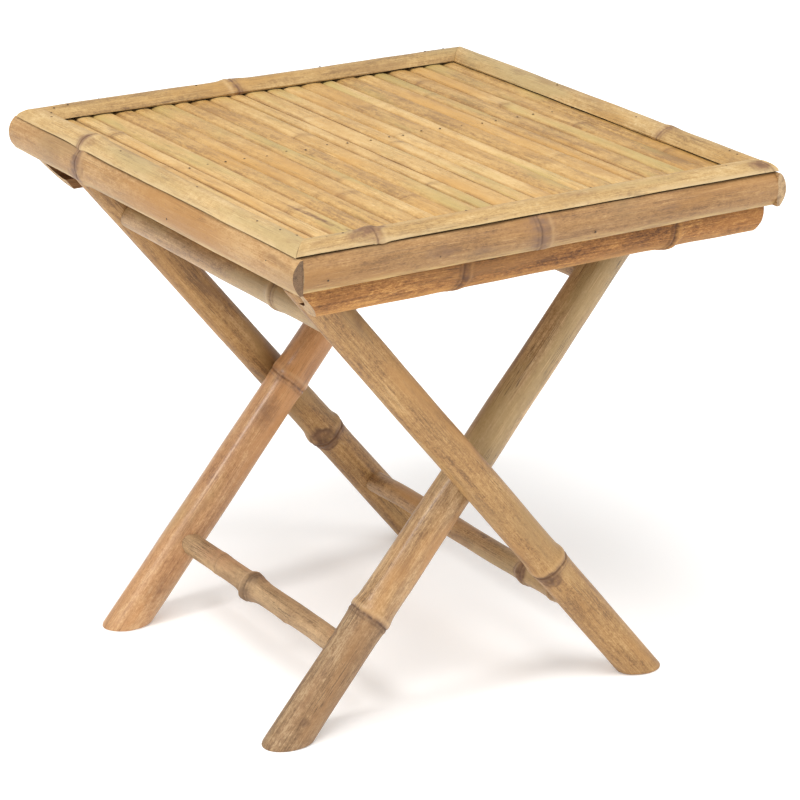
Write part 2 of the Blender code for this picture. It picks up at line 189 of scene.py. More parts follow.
def bamboo_skin(name, colours, ring, warm, cool, roughness, bump, coat=0.0, contrast=1.0,
                flecks=0.5, edge=None, fibres=0.0):
    """The outer face of a culm.

    colours run from the darkest streak to the palest, ring is the colour at a node's scar, warm
    and cool are the tints that drift over the culm, and edge is the colour mixed in patches into
    a
    long edge: painted shade of the gaps between the slats, and a paler worn edge on the caps,
    covers, rails and batten.
    """
    t = Tree(name)
    place = t.grain()
    fine = t.noise(place, (26, 1150, 1), detail=3, roughness=0.65)
    broad = t.noise(place, (9, 330, 1.7), detail=3, roughness=0.6)
    mottle = t.noise(place, (170, 260, 3.7), detail=3, roughness=0.6)
    level = streak_level(t, fine, broad, mottle, contrast)
    colour = t.ramp(level, list(zip((0.0, 0.34, 0.66, 1.0), colours)))
    drift = t.noise(place, (6, 26, 3.1), detail=3)
    colour = t.mix(t.step(drift, 0.50, 0.68, 0.0, 0.75), colour, warm)
    colour = t.mix(t.step(drift, 0.48, 0.32, 0.0, 0.70), colour, cool)
    stain = t.noise(place, (13, 50, 11.1), detail=4, roughness=0.6)
    colour = t.mix(t.step(stain, 0.56, 0.72, 0.0, 0.60), colour, shade(colours[0], 1.25))
    # Long edges take the edge colour in patches: painted shade of the gaps on the slats, a paler
    # worn edge on the other pieces.
    if edge is not None:
        worn = t.noise(place, (45, 300, 7.7), detail=3)
        share = t.math("MULTIPLY", t.attribute("edge"), t.step(worn, 0.35, 0.65, 0.25, 1.0))
        colour = t.mix(share, colour, edge)
    colour = age_marks(t, place, colour, colours, ring, flecks)
    if fibres:
        colour = drying_cracks(t, place, colour, ring, fibres)
    rough_edge = t.noise(place, (190, 240, 6.1), detail=3)
    zone = t.math("MULTIPLY", t.attribute("zone"), t.step(rough_edge, 0.30, 0.62, 0.40, 1.0))
    colour = t.mix(t.math("MINIMUM", zone, 0.88), colour, shade(ring, 1.6))
    pale = t.math("MULTIPLY", t.attribute("pale"), t.step(rough_edge, 0.30, 0.70, 0.6, 1.0))
    colour = t.mix(t.math("MINIMUM", pale, 0.9), colour, shade(colours[3], 1.10))
    line = t.math("MULTIPLY", t.attribute("ring"), t.step(rough_edge, 0.28, 0.60, 0.40, 1.0))
    colour = t.mix(t.math("MINIMUM", line, 0.92), colour, ring)
    t.put(t.shader.inputs["Base Color"], colour)
    rough = t.math("ADD", t.math("MULTIPLY", fine, 0.26), roughness - 0.12)
    rough = t.math("ADD", rough, t.math("MULTIPLY", mottle, 0.12))
    rough = t.math("ADD", rough, t.math("MULTIPLY", t.attribute("ring"), 0.25), clamp=True)
    t.put(t.shader.inputs["Roughness"], rough)
    height = t.math("ADD", t.math("MULTIPLY", fine, 0.6), t.math("MULTIPLY", broad, 0.6))
    height = t.math("ADD", height, t.math("MULTIPLY", mottle, 0.35))
    height = t.math("SUBTRACT", height, t.math("MULTIPLY", zone, 0.25))
    bumped = t.node("ShaderNodeBump", {"Height": height, "Strength": 0.7, "Distance": bump})
    t.put(t.shader.inputs["Normal"], bumped.outputs[0])
    t.shader.inputs["Specular IOR Level"].default_value = 0.42
    t.shader.inputs["Coat Weight"].default_value = coat
    t.shader.inputs["Coat Roughness"].default_value = 0.20
    return t.material


def sawn_face(name, light, dark):
    """Split or scraped bamboo: open fibres along the grain."""
    t = Tree(name)
    place = t.grain()
    fibre = t.noise(place, (25, 1300, 1), detail=4, roughness=0.7)
    cloud = t.noise(place, (18, 90, 2), detail=3)
    colour = t.mix(t.step(fibre, 0.32, 0.68), dark, light)
    colour = t.mix(t.step(cloud, 0.45, 0.75, 0.0, 0.5), colour, shade(dark, 0.8))
    t.put(t.shader.inputs["Base Color"], colour)
    t.put(t.shader.inputs["Roughness"], t.step(fibre, 0.2, 0.8, 0.9, 0.7))
    bumped = t.node("ShaderNodeBump", {"Height": fibre, "Strength": 0.7, "Distance": 0.0006})
    t.put(t.shader.inputs["Normal"], bumped.outputs[0])
    return t.material


def end_grain(name, light, dark):
    """A cross-cut wall: a field of small dark vessel pores in pale wood."""
    t = Tree(name)
    spot = t.node("ShaderNodeTexCoord").outputs["Object"]
    pores = t.node("ShaderNodeTexVoronoi", {"Vector": spot, "Scale": 1300.0}).outputs["Distance"]
    cloud = t.noise(spot, (260, 260, 260), detail=3)
    colour = t.mix(t.step(pores, 0.20, 0.42), dark, light)
    colour = t.mix(t.step(cloud, 0.42, 0.70, 0.0, 0.6), colour, shade(dark, 0.9))
    t.put(t.shader.inputs["Base Color"], colour)
    t.put(t.shader.inputs["Roughness"], t.step(cloud, 0.2, 0.8, 0.9, 0.75))
    bumped = t.node("ShaderNodeBump", {"Height": pores, "Strength": 0.5, "Distance": 0.0004})
    t.put(t.shader.inputs["Normal"], bumped.outputs[0])
    return t.material


def nail_steel():
    t = Tree("nail_heads_steel")
    spot = t.node("ShaderNodeTexCoord").outputs["Object"]
    rust = t.noise(spot, (900, 900, 900), detail=3)
    colour = t.mix(t.step(rust, 0.35, 0.65), (0.050, 0.030, 0.018), (0.130, 0.075, 0.040))
    t.put(t.shader.inputs["Base Color"], colour)
    t.put(t.shader.inputs["Roughness"], t.step(rust, 0.3, 0.7, 0.45, 0.75))
    t.shader.inputs["Metallic"].default_value = 0.35
    return t.material


def floor_paper():
    t = Tree("floor_paper")
    spot = t.node("ShaderNodeTexCoord").outputs["Object"]
    cloud = t.noise(spot, (2, 2, 2), detail=2)
    colour = t.mix(cloud, (0.93, 0.93, 0.93), (0.96, 0.96, 0.955))
    t.put(t.shader.inputs["Base Color"], colour)
    t.put(t.shader.inputs["Roughness"], t.step(cloud, 0.0, 1.0, 0.85, 0.95))
    t.shader.inputs["Specular IOR Level"].default_value = 0.1
    far = t.node("ShaderNodeVectorMath", {0: spot}, operation="LENGTH").outputs["Value"]
    t.put(t.shader.inputs["Emission Color"], (1, 1, 1, 1))
    t.put(t.shader.inputs["Emission Strength"], t.step(far, 0.20, 1.4, 0.16, 0.50))
    return t.material


BROWN_RING = (0.115, 0.055, 0.024)
# The slats' dark edge colour is painted shade of the gaps between the slats.
SLAT_SKIN = bamboo_skin(
    "slat_skin", ((0.270, 0.144, 0.048), (0.443, 0.259, 0.084), (0.528, 0.328, 0.118),
                  (0.607, 0.411, 0.177)),
    BROWN_RING, warm=(0.491, 0.267, 0.070), cool=(0.410, 0.308, 0.103), roughness=0.42,
    bump=0.0005, coat=0.06, contrast=0.85, flecks=0.50, edge=(0.303, 0.161, 0.054), fibres=0.55)
CAP_SKIN = bamboo_skin(
    "cap_skin", ((0.223, 0.130, 0.052), (0.376, 0.230, 0.086), (0.467, 0.305, 0.124),
                 (0.562, 0.401, 0.197)),
    (0.135, 0.070, 0.036), warm=(0.446, 0.251, 0.074), cool=(0.389, 0.289, 0.130),
    roughness=0.45, bump=0.0006, coat=0.05, contrast=0.85, flecks=0.6,
    edge=(0.496, 0.360, 0.185), fibres=0.5)
COVER_SKIN = bamboo_skin(
    "cover_skin", ((0.152, 0.073, 0.026), (0.277, 0.143, 0.049), (0.358, 0.197, 0.074),
                   (0.457, 0.285, 0.126)),
    (0.115, 0.062, 0.036), warm=(0.334, 0.162, 0.045), cool=(0.289, 0.178, 0.077),
    roughness=0.50, bump=0.0006, coat=0.04, contrast=0.75, flecks=0.65,
    edge=(0.502, 0.339, 0.134), fibres=0.5)
RAIL_SKIN = bamboo_skin(
    "rail_skin", ((0.091, 0.034, 0.009), (0.230, 0.091, 0.022), (0.353, 0.155, 0.041),
                  (0.556, 0.285, 0.083)),
    (0.085, 0.040, 0.020), warm=(0.342, 0.141, 0.032), cool=(0.288, 0.134, 0.040),
    roughness=0.72, bump=0.0014, contrast=1.05, flecks=0.75, edge=(0.534, 0.275, 0.073),
    fibres=0.8)
GOLD_LEG_SKIN = bamboo_skin(
    "gold_leg_skin", ((0.176, 0.085, 0.028), (0.311, 0.162, 0.052), (0.394, 0.219, 0.075),
                      (0.501, 0.310, 0.129)),
    BROWN_RING, warm=(0.408, 0.209, 0.062), cool=(0.334, 0.203, 0.077), roughness=0.46,
    bump=0.0005, coat=0.06, contrast=1.10, flecks=0.65, fibres=0.7)
GREY_LEG_SKIN = bamboo_skin(
    "grey_leg_skin", ((0.180, 0.090, 0.038), (0.306, 0.176, 0.074), (0.400, 0.241, 0.109),
                      (0.547, 0.361, 0.180)),
    (0.095, 0.048, 0.026), warm=(0.416, 0.206, 0.067), cool=(0.329, 0.226, 0.093),
    roughness=0.40, bump=0.0004, coat=0.15, contrast=1.10, flecks=0.60, fibres=1.0)
BROWN_LEG_SKIN = bamboo_skin(
    "brown_leg_skin", ((0.113, 0.060, 0.028), (0.211, 0.120, 0.055), (0.282, 0.169, 0.081),
                       (0.404, 0.273, 0.147)),
    (0.085, 0.043, 0.023), warm=(0.282, 0.146, 0.057), cool=(0.235, 0.160, 0.081),
    roughness=0.52, bump=0.0006, coat=0.04, contrast=1.25, flecks=0.65, fibres=1.0)
RED_LEG_SKIN = bamboo_skin(
    "red_leg_skin", ((0.273, 0.127, 0.053), (0.432, 0.220, 0.093), (0.526, 0.288, 0.128),
                     (0.656, 0.416, 0.213)),
    (0.110, 0.050, 0.024), warm=(0.535, 0.257, 0.093), cool=(0.459, 0.293, 0.124),
    roughness=0.32, bump=0.0004, coat=0.25, contrast=0.95, flecks=0.50, fibres=0.4)
BAR_SKIN = bamboo_skin(
    "bar_skin", ((0.175, 0.090, 0.037), (0.322, 0.180, 0.071), (0.414, 0.243, 0.101),
                 (0.524, 0.342, 0.163)),
    (0.110, 0.053, 0.026), warm=(0.396, 0.203, 0.069), cool=(0.340, 0.236, 0.107),
    roughness=0.44, bump=0.0005, coat=0.08, contrast=1.05, flecks=0.6, fibres=0.6)
BARK_SKIN = bamboo_skin(
    "bark_skin", ((0.171, 0.092, 0.043), (0.356, 0.217, 0.105), (0.476, 0.305, 0.154),
                  (0.611, 0.407, 0.227)),
    (0.130, 0.078, 0.042), warm=(0.486, 0.254, 0.118), cool=(0.393, 0.268, 0.140),
    roughness=0.55, bump=0.0012, coat=0.02, contrast=0.70, flecks=0.8, fibres=1.0)
SAWN_WOOD = sawn_face("sawn_bamboo", (0.50, 0.310, 0.130), (0.270, 0.140, 0.052))
# Painted shade: a dark brown for the caps' undersides and undercut outer edges, where the gap
# between cap and cover lies in shadow.
CAP_GAP_PAINTED_SHADE = sawn_face("painted_shade_under_caps", (0.100, 0.052, 0.024), (0.045, 0.022, 0.010))
PITH = sawn_face("pith_side", (0.330, 0.170, 0.062), (0.165, 0.075, 0.027))
END_GRAIN = end_grain("end_grain", (0.46, 0.310, 0.165), (0.185, 0.105, 0.055))
GREY_END = end_grain("weathered_end_grain", (0.185, 0.108, 0.056), (0.070, 0.038, 0.018))
NAIL = nail_steel()


# ---- growing bamboo ------------------------------------------------------------------------
def bump_at(offset, width):
    """A smooth hump, 1 high at offset 0."""
    return math.exp(-(offset / width) ** 2)


def node_shape(offset):
    """Radius added at a distance past a node's scar: a sharp ridge, a groove, a broad swell."""
    return 0.22 * bump_at(offset + 0.0016, 0.0015) + 0.62 * bump_at(offset - 0.0042, 0.0042) \
        + 0.38 * bump_at(offset - 0.0010, 0.0110) - 0.28 * bump_at(offset - 0.0004, 0.0009)


def stations(length, nodes, coarse=0.012, fine=0.0007, reach=0.012):
    """Distances along a piece: close together at its nodes and wide apart elsewhere."""
    found = [0.0]
    while found[-1] < length:
        near = min((abs(found[-1] - node[0]) for node in nodes), default=1.0)
        step = fine if near < reach else min(coarse, max(fine, near - reach + fine))
        found.append(found[-1] + step)
    found[-1] = length
    if found[-1] - found[-2] < fine / 2:
        found.pop(-2)
    return found


def ease(distance, reach):
    """1 at an end of a piece, falling smoothly to 0 at reach from it."""
    return (1 - distance / reach) ** 2 if distance < reach else 0.0


class Growth:
    """One straight piece of bamboo, grown along x of its own frame from a closed outline.

    outline holds (y, z, slot, edge) for each point, and slot is the material of the face from
    that point to the next. nodes holds (distance, swell, darkness, breadth of the dark band).
    knots holds (distance, turn, length, width, height, darkness) of single lumps and scars.
    start and end give how far the end face stands out at an outline point, and reach is how far
    along the piece that is felt. hollow gives how deep the culm's own hollow is open at each end,
    and worn how far the ends' rims are worn round. trims holds the planes (point, outward) that
    the finished piece is sawn off at.
    """

    def __init__(self, name, place, length, outline, nodes=(), seed=0, start=None, end=None,
                 scale=None, waves=0.00018, reach=0.06, coarse=0.012, bow=0.0, hollow=(0, 0),
                 centre=(0, 0), tilt=0.0012, knots=(), trims=(), tones=0.5, wander=0.0,
                 worn=0.0):
        self.name = name
        self.place = place
        self.length = length
        self.outline = outline
        self.nodes = sorted(nodes)
        self.seed = seed
        self.start = start or (lambda y, z: 0.0)
        self.end = end or (lambda y, z: 0.0)
        self.scale = scale or (lambda share: 1.0)
        self.waves = waves
        self.reach = reach
        self.bow = bow
        self.hollow = hollow
        self.centre = centre
        self.tilt = tilt
        self.knots = knots
        self.trims = trims
        self.wander = wander
        self.worn = worn
        self.along = stations(length, self.nodes + [(knot[0],) for knot in knots], coarse)
        if worn:
            near = [share * worn for share in (0.12, 0.3, 0.6, 1.0)]
            inner = [x for x in self.along if near[-1] * 1.5 < x < length - near[-1] * 1.5]
            self.along = [0.0] + near + inner + [length - x for x in near[::-1]] + [length]
        self.random = random.Random(seed)
        self.phase = [self.random.uniform(0, 2 * math.pi) for _ in range(4)]
        self.tones = [self.random.uniform(-tones, tones) for _ in range(len(self.nodes) + 1)]

    def outward(self, index):
        """The direction out of the outline at one of its points."""
        before = self.outline[index - 1]
        after = self.outline[(index + 1) % len(self.outline)]
        tangent = Vector((after[0] - before[0], after[1] - before[1]))
        normal = Vector((tangent.y, -tangent.x))
        return normal.normalized() if normal.length > 1e-9 else normal

    def tone_at(self, distance):
        """Each stretch between nodes has its own tone, with a soft change along it."""
        stretch = sum(1 for node in self.nodes if distance > node[0] + 0.001)
        soft = noise.noise(Vector((distance * 14, self.seed * 2.3, 0.5)))
        return self.tones[stretch] + 0.5 * soft

    def node_marks(self, distance, turn):
        """Height added by the nodes, with their ring, zone and pale marks."""
        added, ring, zone, pale = 0.0, 0.0, 0.0, 0.0
        for spot, swell, dark, breadth in self.nodes:
            offset = distance - spot - self.tilt * math.sin(turn + self.phase[0])
            if abs(offset) > 0.05:
                continue
            spin = Vector((1.7 * math.cos(turn), 1.7 * math.sin(turn), self.seed + spot * 50))
            offset += 0.0012 * noise.noise(spin) + 0.0003 * noise.noise(spin * 4)
            added += swell * (1 + 0.4 * noise.noise(spin)) * node_shape(offset)
            ring += dark * (bump_at(offset, 0.0009) + 0.5 * bump_at(offset + 0.0034, 0.0008))
            zone += dark * bump_at(offset, breadth) * (0.75 + 0.5 * noise.noise(spin * 2))
            pale += 0.45 * dark * bump_at(offset - 0.85 * breadth - 0.0016, 0.0018)
        return added, ring, zone, pale

    def knot_marks(self, distance, turn, radius):
        """Height added by the knots, with their ring and zone marks."""
        added, ring, zone = 0.0, 0.0, 0.0
        for spot, around, long, wide, height, dark in self.knots:
            aside = math.remainder(turn - around, 2 * math.pi) * radius
            grit = noise.noise(Vector((distance * 160, aside * 200, self.seed + spot)))
            far = math.hypot((distance - spot) / long, aside / wide) + 0.28 * grit
            added += height * math.exp(-far ** 2) * (1 + 0.8 * grit)
            zone += dark * math.exp(-far ** 4)
            ring += dark * (0.45 * bump_at(far - 0.95, 0.14) + 0.85 * bump_at(far, 0.50))
        return added, ring, zone

    def at(self, distance, index):
        """A point in the piece's own frame, with its ring, zone and pale marks."""
        y, z, slot, _ = self.outline[index]
        away_y, away_z = y - self.centre[0], z - self.centre[1]
        turn = math.atan2(away_z, away_y)
        scale = self.scale(distance / self.length)
        added, ring, zone, pale = 0.0, 0.0, 0.0, 0.0
        if slot == SKIN or self.outline[index - 1][2] == SKIN:
            added, ring, zone, pale = self.node_marks(distance, turn)
            more = self.knot_marks(distance, turn, math.hypot(away_y, away_z))
            added, ring, zone = added + more[0], ring + more[1], zone + more[2]
            point = Vector((distance * 9, 1.3 * math.cos(turn), 1.3 * math.sin(turn)))
            point.z += self.seed * 3.7
            added += self.waves * (noise.noise(point) + 0.5 * noise.noise(point * 3.1))
            bare = 1 - min(distance, self.length - distance) / self.worn if self.worn else 0.0
            if bare > 0:
                added -= self.worn * (1 - math.sqrt(1 - bare * bare * 0.96))
        away = self.outward(index)
        sway = self.bow * math.sin(math.pi * distance / self.length + self.phase[2])
        drift = self.wander * noise.noise(Vector((distance * 16, self.seed * 1.9, 7.5)))
        x = distance - self.start(y, z) * ease(distance, self.reach)
        x += self.end(y, z) * ease(self.length - distance, self.reach)
        return Vector((x, y * scale + away.x * added + sway + drift,
                       z * scale + away.y * added)), min(ring, 1.0), min(zone, 1.0), pale

    def grow_rows(self, bm, tone):
        """A ring of vertices at each station, with their marks."""
        layers = {key: bm.verts.layers.float.new(key)
                  for key in ("ring", "zone", "pale", "edge", "tone", "seed")}
        rows = []
        for distance in self.along:
            row = []
            for index in range(len(self.outline)):
                point, ring, zone, pale = self.at(distance, index)
                vert = bm.verts.new(self.place @ point)
                values = {"ring": ring, "zone": zone, "pale": pale,
                          "edge": self.outline[index][3],
                          "tone": tone + self.tone_at(distance), "seed": self.seed * 0.731}
                for key, value in values.items():
                    vert[layers[key]] = value
                row.append(vert)
            rows.append(row)
        return rows

    def join_rows(self, bm, uv, rows, late):
        """The faces between the rings, with the grain's map on them."""
        count = len(self.outline)
        around = [0.0]
        for index in range(count):
            y, z = self.outline[index][:2]
            next_y, next_z = self.outline[(index + 1) % count][:2]
            around.append(around[-1] + math.hypot(next_y - y, next_z - z))
        for low, high, below, above in zip(self.along, self.along[1:], rows, rows[1:]):
            for i in range(count):
                j = (i + 1) % count
                face = bm.faces.new((below[j], below[i], above[i], above[j]))
                face.smooth = True
                face.material_index = self.outline[i][2]
                if late is not None and face.material_index == SKIN and low < late:
                    face.material_index = LOW_SKIN
                spots = ((low, i + 1), (low, i), (high, i), (high, i + 1))
                for loop, (distance, k) in zip(face.loops, spots):
                    loop[uv].uv = (distance, around[k])

    def build(self, body, replaced, materials, tone=0.0, late=None):
        """The finished piece. late is how far from its start the low skin goes."""
        bm = bmesh.new()
        uv = bm.loops.layers.uv.new("grain")
        rows = self.grow_rows(bm, tone)
        self.join_rows(bm, uv, rows, late)
        for row, deep in ((rows[0][::-1], self.hollow[0]), (rows[-1], self.hollow[1])):
            self.close(bm, row, deep)
        for point, outward in self.trims:
            saw(bm, point, outward)
        for vert in bm.verts:
            vert.co.z = max(vert.co.z, FLOOR)
        if bm.calc_volume(signed=True) < 0:
            bmesh.ops.reverse_faces(bm, faces=bm.faces[:])
        return finish_piece(self.name, bm, body, replaced, materials)

    def close(self, bm, row, deep):
        """The end face, with the culm's own hollow sunk into it when deep is over zero."""
        face = bm.faces.new(row)
        face.material_index = END
        if deep <= 0:
            return
        centre = face.calc_center_median()
        wall = 0.40 * min((vert.co - centre).length for vert in row)
        inward = self.place.to_3x3() @ Vector((1, 0, 0))
        if (centre - self.place @ Vector((self.length / 2, 0, 0))).dot(inward) > 0:
            inward = -inward
        face.normal_update()
        bmesh.ops.inset_individual(bm, faces=[face], thickness=wall, use_even_offset=True)
        made = bmesh.ops.extrude_discrete_faces(bm, faces=[face])["faces"][0]
        made.material_index = SAWN
        for vert in made.verts:
            vert.co += inward * deep


def saw(bm, point, outward):
    """Cuts away everything past a plane and closes the cut with end grain."""
    geometry = bm.verts[:] + bm.edges[:] + bm.faces[:]
    done = bmesh.ops.bisect_plane(bm, geom=geometry, plane_co=point, plane_no=outward,
                                  clear_outer=True)
    rim = [item for item in done["geom_cut"] if isinstance(item, bmesh.types.BMEdge)]
    for item in bmesh.ops.contextual_create(bm, geom=rim)["faces"]:
        item.material_index = END


def finish_piece(name, bm, body, replaced, materials):
    """Makes the mesh an object that rides on a body in place of CAD nodes."""
    mesh = bpy.data.meshes.new(name)
    bm.to_mesh(mesh)
    bm.free()
    for material in materials:
        mesh.materials.append(material)
    mesh.set_sharp_from_angle(angle=SHARP_ANGLE)
    piece = bpy.data.objects.new(name, mesh)
    bpy.context.scene.collection.objects.link(piece)
    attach(piece, body)
    if replaced:
        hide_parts(*replaced)
    return piece


def facing(origin, along, side):
    """A frame with x along the piece and y towards side."""
    x = Vector(along).normalized()
    z = x.cross(Vector(side)).normalized()
    y = z.cross(x)
    turn = Matrix((x, y, z)).transposed().to_4x4()
    return Matrix.Translation(origin) @ turn


# ---- legs and bars -------------------------------------------------------------------------
def round_outline(radius, sides=44):
    """A round culm's outline."""
    turns = [2 * math.pi * i / sides for i in range(sides)]
    return [(radius * math.cos(a), radius * math.sin(a), SKIN, 0.0) for a in turns]


def middle(node):
    """The middle of a CAD node's box."""
    low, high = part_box(node)
    return (low + high) / 2


def radius_scale(root, tip):
    """An even taper from radius root to radius tip."""
    return lambda share: 1 + (tip / root - 1) * share


LEG_ABOVE_HINGE = 0.014
# name: down direction, radius at the floor, radius at the top, nodes as (height, swell,
# darkness, breadth of the dark band), knots as (height, turn, length, width, rise, darkness),
# skin above the lowest node, skin below it, tone
LEGS = {
    "leg_outer_front": (OUTER_DOWN, 0.0155, 0.0153, ((0.115, 0.0015, 1.0, 0.0040),),
                        ((0.350, 3.7, 0.008, 0.005, 0.0, 0.45),
                         (0.112, 2.4, 0.008, 0.009, 0.0007, 1.5)),
                        GOLD_LEG_SKIN, GOLD_LEG_SKIN, 0.1),
    "leg_outer_back": (OUTER_DOWN, 0.0155, 0.0140, ((0.122, 0.0022, 1.0, 0.0050),),
                       ((0.124, 2.5, 0.012, 0.011, 0.0020, 1.8),
                        (0.120, 4.0, 0.004, 0.005, 0.0, 0.8)),
                       GOLD_LEG_SKIN, GOLD_LEG_SKIN, -0.45),
    "leg_inner_front": (INNER_DOWN, 0.0169, 0.0151, ((0.089, 0.0016, 1.0, 0.0030),),
                        ((0.018, 2.7, 0.003, 0.003, 0.0004, 0.5),),
                        GREY_LEG_SKIN, BROWN_LEG_SKIN, 0.2),
    "leg_inner_back": (INNER_DOWN, 0.0171, 0.0158, ((0.190, 0.0013, 0.8, 0.0050),),
                       ((0.030, 3.0, 0.016, 0.008, 0.0, 0.30),
                        (0.165, 2.6, 0.014, 0.008, 0.0, 0.4)),
                       RED_LEG_SKIN, RED_LEG_SKIN, 0.1),
}


def grow_leg(number, name):
    """A round leg from its level foot to its top, past the hinge or under the slats."""
    down, root, tip, nodes, knots, skin, low_skin, tone = LEGS[name]
    outer = "outer" in name
    rise = -down.z
    cross = Vector((CROSS.x, middle(name).y, CROSS.z))
    foot = cross + down * (cross.z / rise)
    top_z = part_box(name)[1].z
    if outer:
        top = Vector((HINGE.x, cross.y, HINGE.z)) - down * LEG_ABOVE_HINGE
    else:
        top = cross - down * ((top_z - cross.z) / rise)
    length = (top - foot).length
    place = facing(foot, -down, (0, 1, 0))
    level = place.to_3x3().inverted() @ Vector((0, 0, 1))

    def to_floor(y, z):
        return (y * level.y + z * level.z) / level.x

    def to_slats(y, z):
        return -(y * level.y + z * level.z) / level.x

    piece = Growth(
        name + "_culm", place, length, round_outline(root),
        [(height / rise, *rest) for height, *rest in nodes], seed=number,
        start=to_floor, end=None if outer else to_slats, scale=radius_scale(root, tip),
        waves=0.00035, reach=0.07, coarse=0.008, hollow=(0.030, 0.012 if outer else 0),
        knots=[(height / rise, *rest) for height, *rest in knots], tilt=0.0016, tones=0.6,
        wander=0.0007, worn=0.0018)
    body = "outer_frame" if outer else "inner_frame"
    return piece.build(body, [name], [skin, PITH, END_GRAIN, low_skin], tone,
                       late=nodes[0][0] / rise)


STRETCHER_LIMIT = 0.012     # a thinner bar than this is a stretcher, and grows less evenly
# name: joins the outer legs, radius, nodes and knots at their places across the table, skin, tone
BARS = {
    "top_bar_outer": (True, 0.0125, ((-0.086, 0.0015, 0.8, 0.0040),), (), BAR_SKIN, -0.2),
    "stretcher_outer": (True, 0.0095,
                        ((-0.087, 0.0018, 0.8, 0.0055), (-0.132, 0.0012, 0.4, 0.0030)),
                        ((-0.084, 3.4, 0.008, 0.007, 0.0012, 1.0),
                         (0.020, 3.0, 0.030, 0.005, 0.0006, 0.3)), BAR_SKIN, 0.0),
    "top_bar_inner": (False, 0.0125, ((0.040, 0.0014, 1.0, 0.0040),), (), BAR_SKIN, -0.3),
    "stretcher_inner": (False, 0.0095,
                        ((0.010, 0.0024, 0.8, 0.0060), (0.062, 0.0007, 0.3, 0.0030)),
                        ((0.013, 2.6, 0.012, 0.009, 0.0024, 0.5),
                         (0.004, 4.6, 0.009, 0.007, 0.0018, 0.6),
                         (-0.045, 2.2, 0.007, 0.006, 0.0009, 0.3)), BARK_SKIN, 0.3),
}


def leg_radius(name, height):
    """A leg's radius at a height over the floor."""
    root, tip = LEGS[name][1:3]
    low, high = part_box(name)
    return root + (tip - root) * height / (high.z - low.z)


def grow_bar(number, name):
    """A round bar between two legs, its ends scooped to their rounds."""
    outer, radius, nodes, knots, skin, tone = BARS[name]
    frame_name = "outer" if outer else "inner"
    centre = middle(name)
    reach = abs(middle(f"leg_{frame_name}_front").y)
    place = facing((centre.x, -reach, centre.z), (0, 1, 0), (1, 0, 0))
    down = OUTER_DOWN if outer else INNER_DOWN
    across = place.to_3x3().inverted() @ Vector((down.z, 0, -down.x))

    def scoop(leg):
        around = leg_radius(leg, centre.z)

        def depth(y, z):
            aside = y * across.y + z * across.z
            return -math.sqrt(max(0.0, around ** 2 - aside ** 2)) - GAP
        return depth

    front, back = scoop(f"leg_{frame_name}_front"), scoop(f"leg_{frame_name}_back")
    stretcher = radius < STRETCHER_LIMIT
    piece = Growth(
        name + "_culm", place, 2 * reach, round_outline(radius, 32),
        [(y + reach, *rest) for y, *rest in nodes], seed=10 + number,
        start=front, end=back, waves=0.0006 if stretcher else 0.0003, reach=0.075,
        coarse=0.006, bow=0.0006, knots=[(y + reach, *rest) for y, *rest in knots],
        tilt=0.0014, wander=0.0012 if stretcher else 0.0005)
    return piece.build(frame_name + "_frame", [name], [skin, PITH, END_GRAIN],
                       tone)


# ---- rim -----------------------------------------------------------------------------------
# Rim pieces are drawn along the front edge: x runs along it from its left end and y inwards.
TURNS = {"front": 0, "right": 90, "back": 180, "left": 270}
RIM_STEPS = 18


def edge_frame(edge):
    """The frame that a rim piece of one edge is drawn in."""
    turn = Matrix.Rotation(math.radians(TURNS[edge]), 4, "Z")
    return turn @ Matrix.Translation((-HALF, -HALF, RIM_Z))


def arch(width, rise, steps, lift=0.0):
    """Points of a flat arc from (0, lift) to (width, lift)."""
    radius = (width * width / 4 + rise * rise) / (2 * rise)
    half = math.asin(width / 2 / radius)
    points = []
    for i in range(steps + 1):
        turn = -half + 2 * half * i / steps
        points.append((width / 2 + radius * math.sin(turn),
                       lift + radius * math.cos(turn) - (radius - rise)))
    return points


def cap_crown(lip):
    """A cap's skin, seen from its end. lip is the open joint under its long edges."""
    return arch(CAP_WIDTH, CAP_RISE - lip, RIM_STEPS, lip)


def grow_cap(number, edge, nodes, knots, tone):
    """A split culm lying over the ends of the slats and the top of the cover."""
    crown = cap_crown(CAP_LIP[edge])
    outline = [(CAP_WIDTH, 0.0, SKIN, 0.0)]
    outline += [(y, z, SKIN, max(0.0, 1 - y / 0.004)) for y, z in crown[::-1]]
    # The undercut outer edge and the flat underside use the second material, a dark painted shade
    # for the line between cap and cover.
    outline[-1] = (*outline[-1][:2], SAWN, 1.0)
    outline.append((0.0045, 0.0, SAWN, 0.0))

    def mitre(y, z):
        return -y - GAP * 0.7

    piece = Growth(
        "cap_" + edge + "_split_culm", edge_frame(edge), 2 * HALF, outline, nodes,
        seed=20 + number, start=mitre, end=mitre, waves=0.0007, reach=0.085, coarse=0.006,
        centre=(CAP_WIDTH / 2, -0.010), tilt=0.0018, knots=knots, wander=0.0008)
    return piece.build("tray", ["cap_" + edge],
                       [CAP_SKIN, CAP_GAP_PAINTED_SHADE, END_GRAIN], tone)


